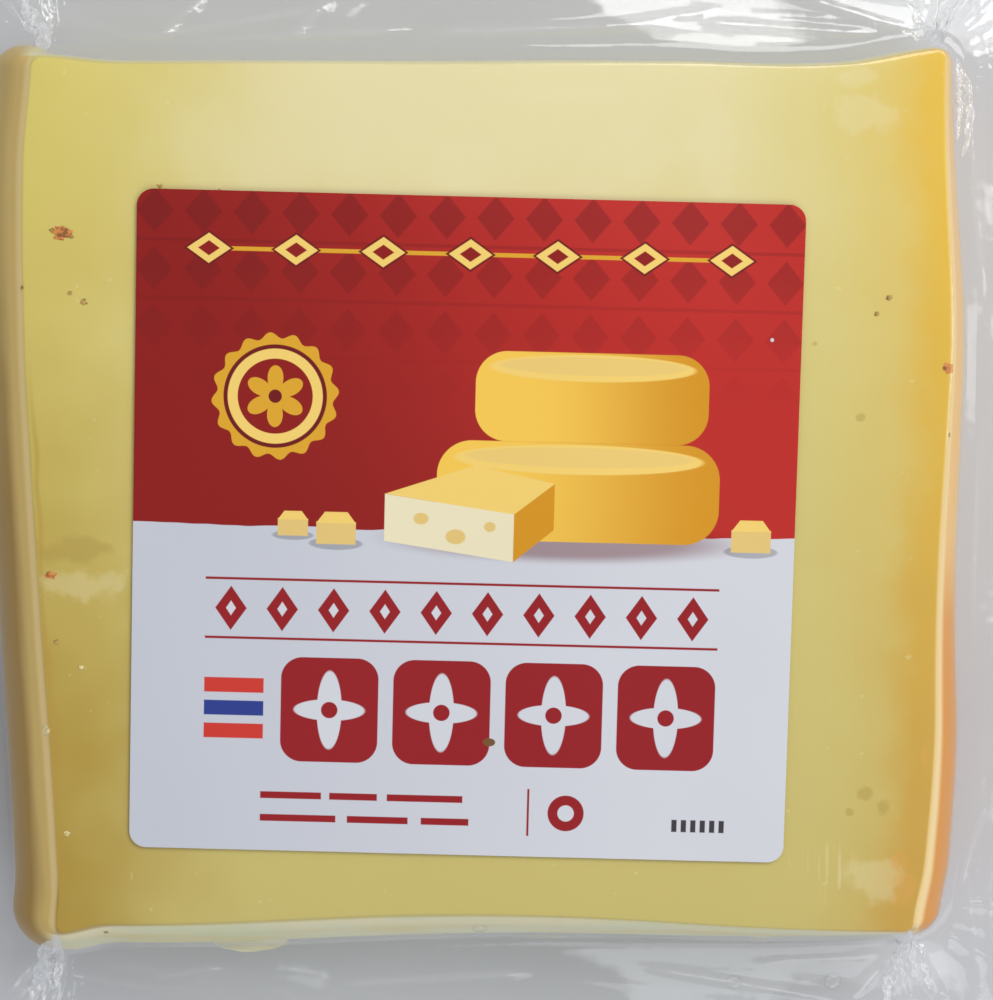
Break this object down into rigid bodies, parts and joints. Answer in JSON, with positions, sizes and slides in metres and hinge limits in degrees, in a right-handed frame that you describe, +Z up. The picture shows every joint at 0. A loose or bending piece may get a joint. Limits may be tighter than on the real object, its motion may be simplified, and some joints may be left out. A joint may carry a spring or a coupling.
{
  "type": "vacuum-packed cheese slab",
  "caption": "Square slab of semi-hard cheese sealed in clear vacuum film, with a thin wavy sealed rim at half height, gathered film at the corners and a flat square label on the upper face",
  "frame": {"origin": "on the surface the pack lies on, under the middle of the bounding box of the sealed rim", "axes": "+X across the slab from rind to rind, +Y towards the top of the label, +Z up through the thickness of the slab to the labelled face"},
  "size_m": [0.158, 0.15, 0.0256],
  "materials": {
    "film": "clear glossy vacuum film clinging to pale yellow cheese, loose and creased at the rim and corners",
    "cheese": "smooth moist pale yellow paste, deeper golden at the rinds, slightly translucent",
    "whey": "thin clear whey and small bubbles caught under the film",
    "label_print": "satin printed adhesive label, red above a white field"
  },
  "bodies": {
    "root": {"pack": "film", "label": "label_print"}
  },
  "joints": []
}
